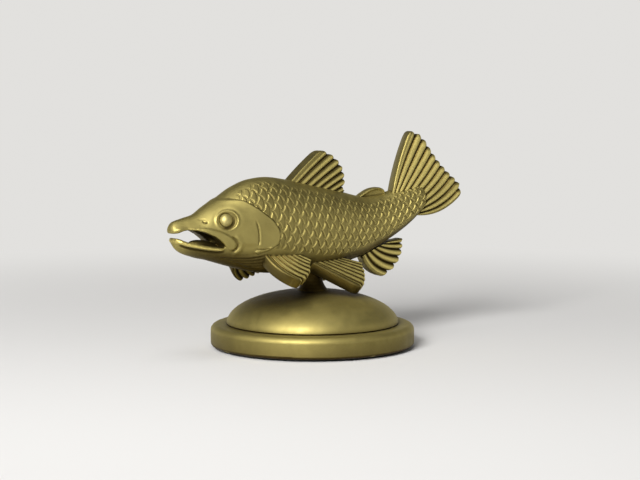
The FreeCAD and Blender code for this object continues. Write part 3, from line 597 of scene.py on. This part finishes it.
def scale_relief(x, row):
    """The scales' height over the skin and their painted shade and highlight, at x and at a row from
    the top.
    """
    column = np.interp(x, columns, range(len(columns)))
    pitch = np.interp(x, PITCH_SPAN, SCALE_PITCH)
    relief, low_half, own_low = (np.zeros(x.shape) for _ in range(3))
    best, edge_off, groove = (np.full(x.shape, FAR_OFF) for _ in range(3))
    first_column, first_row = np.floor(column).astype(int), np.floor(row).astype(int)
    for back in range(-4, 5):
        number = np.clip(first_column + back, 0, len(columns) - 1)
        for beside in range(-2, 3):
            line = first_row + beside
            real = (number + line) % 2 == 0
            along = (column - number) / 2
            across = row - line
            reach = EDGE_REACH * np.sqrt(np.clip(1 - (across / EDGE_SPREAD) ** 2, 0, 1))
            inside = reach - along
            level = np.hypot(np.maximum(along, 0) / EDGE_REACH, across / EDGE_SPREAD)
            edge = (1 - level) * EDGE_REACH * pitch
            covers = real & (inside > 0) & (np.abs(across) < EDGE_SPREAD)
            topmost = covers & (number < best)
            draw = scale_draws[number % DRAW_COLUMNS, np.clip(line + 2, 0, SCALE_ROWS + 3)]
            bulge = EDGE_LIFT * (0.5 + 0.5 * ramp(-0.9, 0.5, along)) + draw
            relief = np.where(topmost, bulge, relief)
            edge_off = np.where(topmost, np.maximum(edge, 0), edge_off)
            own_low = np.where(topmost, ramp(-0.45, 0.35, across), own_low)
            best = np.where(topmost, number, best)
            beyond = real & (inside <= 0) & (along < 1.3) & (np.abs(across) < EDGE_SPREAD)
            nearer = beyond & (-inside * pitch < groove)
            groove = np.where(nearer, -inside * pitch, groove)
            low_half = np.where(nearer, ramp(-0.45, 0.35, across), low_half)
    # The grooves are deep round a scale's lower half and shallow above.
    groove_share, edge_share = 0.35 + 0.65 * low_half, 0.35 + 0.65 * own_low
    relief = relief - (relief + GROOVE) * (1 - ramp(0, GROOVE_WIDTH, groove)) * groove_share
    relief = relief - (relief + GROOVE * edge_share) * np.exp(-(edge_off / EDGE_ROUND) ** 2)
    # Painted shade along each groove and each free edge, heavier round a scale's lower half, and a
    # painted highlight beside each groove.
    painted_shade = np.exp(-(groove / (0.32 * MM)) ** 2) * (0.85 + 0.55 * low_half)
    painted_shade = np.maximum(painted_shade, np.exp(-(edge_off / (0.28 * MM)) ** 2) * (0.85 + 0.55 * own_low))
    painted_highlight = np.exp(-((groove - 0.72 * MM) / (0.22 * MM)) ** 2) * (0.60 + 0.45 * low_half)
    painted_highlight *= edge_off > 0.3 * MM
    # Painted shade darkens every scale a little.
    painted_shade += 0.26
    return relief, painted_shade - painted_highlight


# Each flank is a grid over the skin, from a little above the top row to below the lowest.
GRID_LONG, GRID_HIGH = 480, 195
GRID_TOP, GRID_FOOT = -0.09, 1.07
ROWS_SPAN, ROWS_KEPT = (10 * MM, 46 * MM), (1, 0.62)
PLAIN_SINK, RIM_SINK = 0.14 * MM, 1.5 * MM
grid_x = np.linspace(SCALES_FROM, SCALES_TO, GRID_LONG)
grid_row = np.linspace(GRID_TOP, GRID_FOOT, GRID_HIGH)
x, row = (part.ravel() for part in np.meshgrid(grid_x, grid_row, indexing="ij"))
point, out = skin_at(x, row_turn(x, row))
rows_kept = np.interp(x, ROWS_SPAN, ROWS_KEPT)
relief, painted_scale_light = scale_relief(x, row * SCALE_ROWS * rows_kept)
strength = ramp(-0.08, 0.10, row) * ramp(-0.05, 0.09, 1 - row)
strength = strength * (0.10 + 0.90 * ramp(-42 * MM, -35 * MM, x))
flank_view = point[:, [0, 2]]
gill_off = off_curve(gill_run, flank_view)[0]
under_gill = np.where(inside_of(gill_field, flank_view), gill_off, -gill_off) / MM
ends = np.minimum(ramp(0, 0.05, row + 0.085), ramp(0, 0.045, 1.065 - row))
ends = ends * ramp(0, 1.2 * MM, x - SCALES_FROM) * ramp(0, 1.5 * MM, SCALES_TO - x)
ends = ends * (1 - ramp(-0.5, 0.3, under_gill))
height = relief * strength - PLAIN_SINK * (1 - strength)
height = height * ends - RIM_SINK * (1 - ends)
outer = point + out * height[:, None]
inner = point - out * SKIN_UNDER

# Walls run from the grid's border into the body and meet in one point there.
faces = []
for spot in range(GRID_LONG - 1):
    for line in range(GRID_HIGH - 1):
        low = spot * GRID_HIGH + line
        faces.append((low, low + 1, low + GRID_HIGH + 1, low + GRID_HIGH))
border = list(range(GRID_HIGH))
border += [spot * GRID_HIGH + GRID_HIGH - 1 for spot in range(1, GRID_LONG)]
border += [(GRID_LONG - 1) * GRID_HIGH + line for line in range(GRID_HIGH - 2, -1, -1)]
border += [spot * GRID_HIGH for spot in range(GRID_LONG - 2, 0, -1)]
feet = range(len(outer), len(outer) + len(border))
meeting = len(outer) + len(border)
wall = list(zip(border, border[1:] + border[:1], feet, [*feet[1:], feet[0]]))
faces += [(here, following, foot_on, foot) for here, following, foot, foot_on in wall]
faces += [(foot, foot_on, meeting) for _here, _following, foot, foot_on in wall]
for side, word in ((-1, "left"), (1, "right")):
    skin_side = np.concatenate([outer, inner[border], inner[border].mean(0)[None]])
    middle_line = section_at(skin_side[:, 0])[0]
    skin_side[:, 1] = middle_line + (skin_side[:, 1] - middle_line) * -side
    scales = new_piece(word + "_flank_scales", skin_side, faces)
    paint_light(scales, np.concatenate([painted_scale_light * strength * ends, np.zeros(len(border) + 1)]))
    scales.data.materials.append(fish_brass)
    scales.data.shade_smooth()
    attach(scales, "root")

# EYES
# Turned brass balls, set in the sockets of the casting. The solids' own meshes stay, here
# and in the sections on the post, the base, the rod and the felt.
EYE_TONE = (0.50, 0.43, 0.17, 1)
eye_brass = made_finish("eye_brass", EYE_TONE, CAST_SHADE, 0.58, 0.01 * MM)


def finish_nodes(finish, *node_names):
    """Give solids that stay as they are their finish."""
    for node_name in node_names:
        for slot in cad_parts[node_name].material_slots:
            slot.material = finish


finish_nodes(eye_brass, "left_eye", "right_eye")

# FINS
# Cast brass fins, each a thick fan whose rays stand out as rounded ridges on both faces and
# end in a scalloped margin. Their roots stand in slots in the body and are brazed there.
RAY_STEPS, FIN_STEPS = 12, 30
fin_brass = made_finish("fin_brass", CAST_TONE, CAST_SHADE, 0.50, 0.01 * MM, wear=0.15)
# The margin is notched deeper at the outer rays, and the web keeps a core.
OUTER_NOTCH, CORE_SHARE = 1.5, 0.35


def fin_fan(name, home, turn, root, thickness, length, angles, shares, bows, groove=0.95 * MM,
            notch=0.9 * MM, sink=2.0 * MM, rim_shade=0.35):
    """A fan in its own frame: root line along X, rays in XZ, angles from Z towards X."""
    last = len(shares) - 1
    ray = np.concatenate([np.linspace(-0.5, 0.5, RAY_STEPS + 1)[:-1] + number
                          for number in range(last + 1)] + [[last + 0.5]])
    nearest = np.clip(np.round(ray), 0, last)
    off_middle = np.clip((ray - nearest) * 2, -1, 1)
    outer = (ray < 0) | (ray > last)
    roundness = 1 - np.sqrt(np.clip(1 - np.abs(off_middle) ** 1.5, 0, 1))
    share = np.interp(np.clip(ray, 0, last), range(last + 1), shares)
    fan = ray / last
    angle = np.radians(angles[0] + (angles[1] - angles[0]) * fan)
    bow = bows[0] + (bows[1] - bows[0]) * np.clip(fan, 0, 1)
    loops = []
    for step in range(FIN_STEPS + 1):
        spot = math.sin(step / FIN_STEPS * math.pi / 2)
        reach = length * share - notch * roundness * np.where(outer, OUTER_NOTCH, 1.0)
        run = reach * spot - sink * (1 - spot)
        aside = length * bow * 4 * spot * (1 - spot)
        across = root * fan + run * np.sin(angle) + aside * np.cos(angle)
        upwards = run * np.cos(angle) - aside * np.sin(angle)
        tip = np.clip((spot - 0.93) / 0.07, 0, 1)
        half = thickness / 2 * (0.45 + 0.55 * math.sqrt(1 - tip ** 2))
        dip = np.where(outer, groove * 0.55, groove * (0.45 + 0.55 * spot)) * roundness
        depth = np.maximum(half - dip, half * CORE_SHARE)
        near = np.stack([across, -depth, upwards], -1)
        far = np.stack([across, depth, upwards], -1)[::-1]
        loops.append(np.concatenate([near, far]))
    around = len(loops[0])
    fan_points = np.concatenate(loops) @ np.array(turn.to_3x3()).T + np.array(home)
    faces = tube_faces(FIN_STEPS + 1, around)[:-2]
    for ring, flip in ((0, 1), (FIN_STEPS, -1)):
        first = ring * around
        for spot in range(around // 2 - 1):
            quad = (first + spot, first + spot + 1, first + around - 2 - spot,
                    first + around - 1 - spot)
            faces.append(quad[::flip])
    fin = new_piece(name, fan_points, faces)
    # Painted shade between the rays and on the rim faces, and a painted highlight on the rays'
    # crests, partly rubbed wear.
    off_crest = np.abs(off_middle)
    between = 1.1 * ramp(0.42, 0.78, off_crest) - 0.6 * (1 - ramp(0.1, 0.6, off_crest))
    between = np.where(outer, rim_shade, between)
    paint_light(fin, np.tile(np.concatenate([between, between[::-1]]), FIN_STEPS + 1))
    fin.data.materials.append(fin_brass)
    pick_only(fin)
    bpy.ops.object.shade_smooth_by_angle(angle=math.radians(40))
    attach(fin, "root")
    return fin


def stood(yaw, tilt, pitch):
    return (Matrix.Rotation(math.radians(yaw), 4, "Z") @ Matrix.Rotation(math.radians(tilt), 4, "X")
            @ Matrix.Rotation(math.radians(pitch), 4, "Y"))


def on_body(along, above, out=0.0):
    """A fin's home from shares of the body's length, height and width."""
    x = LENGTH * (along - POST_SHARE)
    return Vector((x, float(section_at(x)[0]) + WIDTH * out, BELLY + HEIGHT * above))


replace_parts(fin_fan("dorsal_fin_fan", on_body(0.480, 0.962), stood(0, 0, 14.1), 20.5 * MM, 6.0 * MM,
                    17.6 * MM, (37, 53), (1.01, 1.00, 0.93, 0.81, 0.63, 0.42, 0.14), (-0.02, 0.0)),
            "dorsal_fin")
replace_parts(fin_fan("tail_fin_fan", on_body(0.886, 0.790), stood(-15, 0, 38.4), 12.6 * MM, 6.0 * MM,
                    26.9 * MM, (-20.0, 29.0),
                    (0.97, 0.985, 0.95, 0.895, 0.855, 0.83, 0.82, 0.82, 0.835, 0.85, 0.80),
                    (-0.03, 0.11), notch=1.1 * MM), "tail_fin")
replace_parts(fin_fan("anal_fin_fan", on_body(0.780, 0.100), stood(-8, 0, -29.1), 12.4 * MM, 5.2 * MM,
                    11.4 * MM, (159, 115), (0.98, 1.03, 0.98, 0.86, 0.68, 0.46), (0.14, 0.0)),
            "anal_fin")

# The small fleshy fin has no rays: a leaf with a rounded, slightly raised border.
LEAF_EDGE = [(-0.16, -0.45), (-0.13, -0.12), (0.04, 0.24), (0.24, 0.62), (0.44, 0.90), (0.62, 1.0),
             (0.80, 0.97), (0.93, 0.76), (1.0, 0.30), (1.0, -0.45)]
LEAF_LONG, LEAF_HIGH, LEAF_HALF = 13.0, 3.9, 2.0
# Each ring's way in from the edge in millimetres, and its share of half the thickness.
LEAF_SECTION = ((1.7, 0.66), (1.1, 0.78), (0.75, 0.97), (0.40, 1.0), (0.12, 0.86), (0.0, 0.55))
leaf_line = run_of([(LEAF_LONG * across, LEAF_HIGH * upwards)
                    for across, upwards in LEAF_EDGE], 4)
leaf_middle = np.array((6.5, -1.0)) * MM
leaf_loops = []
leaf_inward = leaf_middle - leaf_line
leaf_inward /= np.linalg.norm(leaf_inward, axis=1, keepdims=True)
leaf_section = [(inset, -half) for inset, half in LEAF_SECTION]
leaf_section += [(inset, half) for inset, half in LEAF_SECTION[::-1]]
for inset, half in leaf_section:
    ring = leaf_line + leaf_inward * inset * MM
    beside = np.full(len(ring), half * LEAF_HALF * MM)
    leaf_loops.append(np.stack([ring[:, 0], beside, ring[:, 1]], -1))
leaf_turn = np.array(stood(-5, 0, -3).to_3x3())
leaf_points = np.concatenate(leaf_loops) @ leaf_turn.T + np.array(on_body(0.744, 0.740))
leaf = new_piece("adipose_fin_leaf", leaf_points, tube_faces(len(leaf_section), len(leaf_line)))
leaf.data.materials.append(fin_brass)
pick_only(leaf)
bpy.ops.object.shade_smooth_by_angle(angle=math.radians(50))
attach(leaf, "root")
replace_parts(leaf, "adipose_fin")

PECTORAL_SHARES = {"left": (0.330, 0.320, 0.180), "right": (0.300, 0.375, 0.175)}
for side, word in ((-1, "left"), (1, "right")):
    along, out, above = PECTORAL_SHARES[word]
    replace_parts(fin_fan(word + "_pectoral_fin_fan", on_body(along, above, out * side),
                        stood(0, 47 * side, 8.6), 14.7 * MM, 5.2 * MM, 15.8 * MM, (140.4, 119.4),
                        (1.00, 0.92, 0.81, 0.68, 0.51, 0.34, 0.20), (0.13, 0.0),
                        groove=1.2 * MM, rim_shade=0.8), word + "_pectoral_fin")
    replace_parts(fin_fan(word + "_pelvic_fin_fan", on_body(0.536, 0.037, 0.292 * side),
                        stood(0, 47 * side, -6.9), 14.1 * MM, 5.4 * MM, 18.6 * MM, (137.9, 119.9),
                        (1.00, 0.95, 0.86, 0.75, 0.63, 0.49, 0.36), (0.0, 0.0),
                        groove=1.2 * MM, rim_shade=0.8), word + "_pelvic_fin")

# SUPPORT POST
# A short round post of brass, turned with a flare at both ends and saddled to the belly. The
# rod runs through it. The photograph shows it darker than the base, so its tone is darker and
# its hollow darkening reaches 22 mm: painted shade from the fish above.
POST_SHADED_TONE = (0.20, 0.155, 0.050, 1)
post_shaded_brass = made_finish("post_shaded_brass", POST_SHADED_TONE, CAST_SHADE, 0.58, 0.02 * MM, 22 * MM)
finish_nodes(post_shaded_brass, "support_post")

# BASE
# A domed disc on a round plinth with rounded edges, both turned from brass. A step centres
# the dome on the plinth.
# Its hollow darkening reaches 26 mm: painted shade from the fish and post on the dome and plinth.
base_brass = made_finish("base_brass", CAST_TONE, CAST_SHADE, 0.58, 0.02 * MM, 26 * MM)
finish_nodes(base_brass, "base_dome", "base_plinth")

# ROD, NUT, WASHER AND DOWELS
# Plated steel inside. The rod screws into the belly and is drawn down by a nut on a washer
# in the plinth's pocket, and two dowel pins keep the dome from turning.
STEEL_TONE, STEEL_SHADE = (0.50, 0.51, 0.52, 1), (0.10, 0.10, 0.11, 1)
steel = made_finish("steel", STEEL_TONE, STEEL_SHADE, 0.35, 0.01 * MM)
finish_nodes(steel, "dome_dowels", "tie_rod", "rod_washer", "rod_nut")

# FELT PAD
# A disc of dark wool felt, glued under the plinth. It closes the nut's pocket and keeps the
# metal off the table.
FELT_TONE, FELT_SHADE = (0.012, 0.016, 0.012, 1), (0.004, 0.005, 0.004, 1)
felt = made_finish("felt", FELT_TONE, FELT_SHADE, 0.90, 0.10 * MM, metallic=0.0)
finish_nodes(felt, "felt_pad")

# CAMERA, FLOOR AND LIGHTS
# A plain pale floor, soft lamps and a camera at the photograph's angle.
AZIMUTH, ELEVATION = math.radians(-35), math.radians(5.33)
DISTANCE = 0.6269
TARGET_ASIDE, TARGET_HEIGHT = 0.00298, 0.04178
right = Vector((math.cos(AZIMUTH), math.sin(AZIMUTH), 0))
level = Vector((-math.sin(AZIMUTH), math.cos(AZIMUTH), 0))
look = level * math.cos(ELEVATION) - Vector((0, 0, math.sin(ELEVATION)))
target = right * TARGET_ASIDE + Vector((0, 0, TARGET_HEIGHT))
lens = bpy.data.cameras.new("camera")
lens.sensor_width = 36
lens.lens = 90
lens.clip_start = 0.01
camera = bpy.data.objects.new("camera", lens)
camera.location = target - look * DISTANCE
camera.rotation_euler = look.to_track_quat("-Z", "Y").to_euler()
bpy.context.scene.collection.objects.link(camera)
bpy.context.scene.camera = camera

FLOOR_RADIUS, FLOOR_DROP = 6, 0.0001
bpy.ops.mesh.primitive_circle_add(vertices=96, radius=FLOOR_RADIUS, fill_type="NGON",
                                  location=(0, 0, -FLOOR_DROP))
floor = bpy.context.object
floor.name = "floor"
PALE = (0.76, 0.75, 0.73, 1)
PAPER = (0.66, 0.65, 0.635, 1)
paper = bpy.data.materials.new("floor_paper")
paper.use_nodes = True
sheet, pins = paper.node_tree.nodes, paper.node_tree.links
sheet["Principled BSDF"].inputs["Base Color"].default_value = PAPER
sheet["Principled BSDF"].inputs["Roughness"].default_value = 0.8


def reckoned(tree, kind, first, second):
    """The sum or product of two outputs, kept within 0 and 1."""
    total = tree.nodes.new("ShaderNodeMath")
    total.operation = kind
    total.use_clamp = True
    tree.links.new(first, total.inputs[0])
    tree.links.new(second, total.inputs[1])
    return total.outputs[0]


def eased(tree, value, low, high, first=0.0, second=1.0):
    """A soft step from the first number to the second, as the value goes from low to high."""
    step = tree.nodes.new("ShaderNodeMapRange")
    step.interpolation_type = "SMOOTHSTEP"
    for word, number in (("From Min", low), ("From Max", high), ("To Min", first),
                         ("To Max", second)):
        step.inputs[word].default_value = number
    tree.links.new(value, step.inputs["Value"])
    return step.outputs["Result"]


# Away from the object the paper shows plain pale to the camera and in the metal.
PLAIN_FROM, PLAIN_FULLY = 0.08, 0.42
rays = sheet.new("ShaderNodeLightPath")
seen = reckoned(paper.node_tree, "ADD", rays.outputs["Is Camera Ray"],
                rays.outputs["Is Glossy Ray"])
seen = reckoned(paper.node_tree, "ADD", seen, rays.outputs["Is Transmission Ray"])
here = sheet.new("ShaderNodeTexCoord")
reach = sheet.new("ShaderNodeVectorMath")
reach.operation = "LENGTH"
pins.new(here.outputs["Object"], reach.inputs[0])
far = eased(paper.node_tree, reach.outputs["Value"], PLAIN_FROM, PLAIN_FULLY)
plain = sheet.new("ShaderNodeEmission")
plain.inputs["Color"].default_value = PALE
blend = sheet.new("ShaderNodeMixShader")
pins.new(reckoned(paper.node_tree, "MULTIPLY", seen, far), blend.inputs["Fac"])
pins.new(sheet["Principled BSDF"].outputs["BSDF"], blend.inputs[1])
pins.new(plain.outputs["Emission"], blend.inputs[2])
pins.new(blend.outputs["Shader"], sheet["Material Output"].inputs["Surface"])
floor.data.materials.append(paper)

LAMPS_AIM = Vector((0, 0, 0.04))
for name, place, size, power in (
        ("key", (-0.95, -0.62, 0.62), 0.5, 28),
        ("fill", (0.70, -0.95, 0.35), 0.8, 1.0),
        ("top", (-0.2, -0.2, 1.4), 0.8, 5)):
    lamp = bpy.data.lights.new(name, "AREA")
    lamp.energy = power
    lamp.size = size
    light = bpy.data.objects.new(name, lamp)
    light.location = place
    light.rotation_euler = (LAMPS_AIM - Vector(place)).to_track_quat("-Z", "Y").to_euler()
    bpy.context.scene.collection.objects.link(light)

# The room is pale round the horizon, dimmer overhead and dimmer behind the camera.
world = bpy.data.worlds.new("world")
world.use_nodes = True
room, joins = world.node_tree.nodes, world.node_tree.links
facing = room.new("ShaderNodeTexCoord")
split = room.new("ShaderNodeSeparateXYZ")
joins.new(facing.outputs["Generated"], split.inputs["Vector"])
overhead = eased(world.node_tree, split.outputs["Z"], 0.12, 0.55, 1.0, 0.10)
toward = room.new("ShaderNodeVectorMath")
toward.operation = "DOT_PRODUCT"
toward.inputs[1].default_value = level
joins.new(facing.outputs["Generated"], toward.inputs[0])
behind_camera = eased(world.node_tree, toward.outputs["Value"], -0.3, 0.5, 0.5, 1.0)
joins.new(reckoned(world.node_tree, "MULTIPLY", overhead, behind_camera),
          room["Background"].inputs["Strength"])
room["Background"].inputs["Color"].default_value = PALE
bpy.context.scene.world = world
bpy.context.scene.view_settings.view_transform = "Standard"
